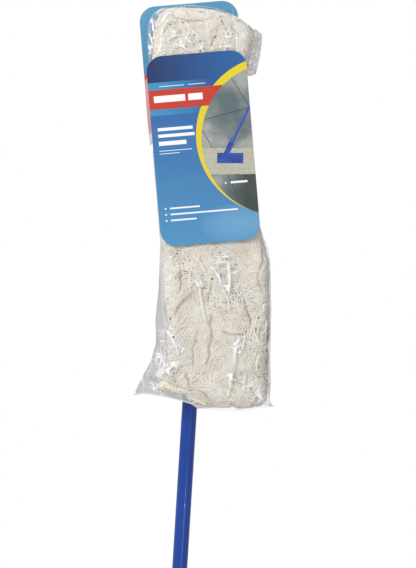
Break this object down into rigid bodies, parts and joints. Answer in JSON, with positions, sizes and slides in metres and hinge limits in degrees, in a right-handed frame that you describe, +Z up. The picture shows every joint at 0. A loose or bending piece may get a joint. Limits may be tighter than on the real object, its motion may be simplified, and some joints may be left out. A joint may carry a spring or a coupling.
{
  "type": "flat dust mop in shop packaging",
  "caption": "Flat dust mop with a cream yarn pad, folding swivel frame and telescopic blue handle, in a clear film bag and a printed card sleeve.",
  "frame": {"origin": "on the handle's axis, at the hanging end of the handle, where a wall clip or a hand holds the mop", "axes": "+Z up the handle towards the head, -Y out of the yarn side of the pad, +X to the right when the yarn side is seen"},
  "size_m": [0.2693, 0.0925, 1.2186],
  "materials": {
    "bare_tube": "satin",
    "blue_tube": "gloss",
    "grip_plastic": "satin",
    "blue_plastic": "semi-gloss",
    "inner_plastic": "satin",
    "zinc_steel": "zinc plated",
    "canvas": "plain weave",
    "yarn": "twisted cotton and polyester yarn",
    "film": "clear gloss film",
    "card_print": "gloss printed"
  },
  "bodies": {
    "upper_handle": {"upper_tube": "bare_tube", "grip": "grip_plastic", "end_cap": "grip_plastic", "guide_plug": "inner_plastic"},
    "lower_handle": {"lower_tube": "blue_tube", "collet": "inner_plastic", "socket_fork": "blue_plastic", "socket_screw": "zinc_steel", "roll_pin": "zinc_steel"},
    "lock_nut": {"lock_nut": "grip_plastic"},
    "yoke": {"yoke_block": "blue_plastic", "tilt_pin": "zinc_steel"},
    "head": {"frame_plate": "blue_plastic", "clamp_plate": "blue_plastic", "plate_screws": "zinc_steel", "wire_upper": "zinc_steel", "wire_lower": "zinc_steel", "canvas_backing": "canvas", "pocket_upper": "canvas", "pocket_lower": "canvas", "yarn_pile": "yarn", "yarn_skirt": "yarn"},
    "bag": {"bag_film": "film", "bag_tail": "film"},
    "sleeve": {"front_card": "card_print", "rear_card": "card_print", "left_gusset": "card_print", "right_gusset": "card_print"}
  },
  "joints": [
    {"name": "telescope", "type": "slide", "parent": "upper_handle", "child": "lower_handle", "axis": [0, 0, 1], "range_m": [0, 0.45]},
    {"name": "lock_twist", "type": "hinge", "parent": "lower_handle", "child": "lock_nut", "pos_m": [0, 0, 0.185], "axis": [0, 0, 1], "range_deg": [0, 120]},
    {"name": "head_roll", "type": "hinge", "parent": "lower_handle", "child": "yoke", "pos_m": [0, 0, 0.858], "axis": [0, 1, 0], "range_deg": [-40, 60]},
    {"name": "head_tilt", "type": "hinge", "parent": "yoke", "child": "head", "pos_m": [-0.00318, 0, 0.87977], "axis": [-0.9895, 0, -0.1444], "range_deg": [0, 180]},
    {"name": "bag_slide", "type": "slide", "parent": "head", "child": "bag", "axis": [-0.1444, 0, 0.9895], "range_m": [0, 0.66]},
    {"name": "sleeve_slide", "type": "slide", "parent": "bag", "child": "sleeve", "axis": [-0.1444, 0, 0.9895], "range_m": [0, 0.4], "deforming": ["bag_tail"]}
  ]
}
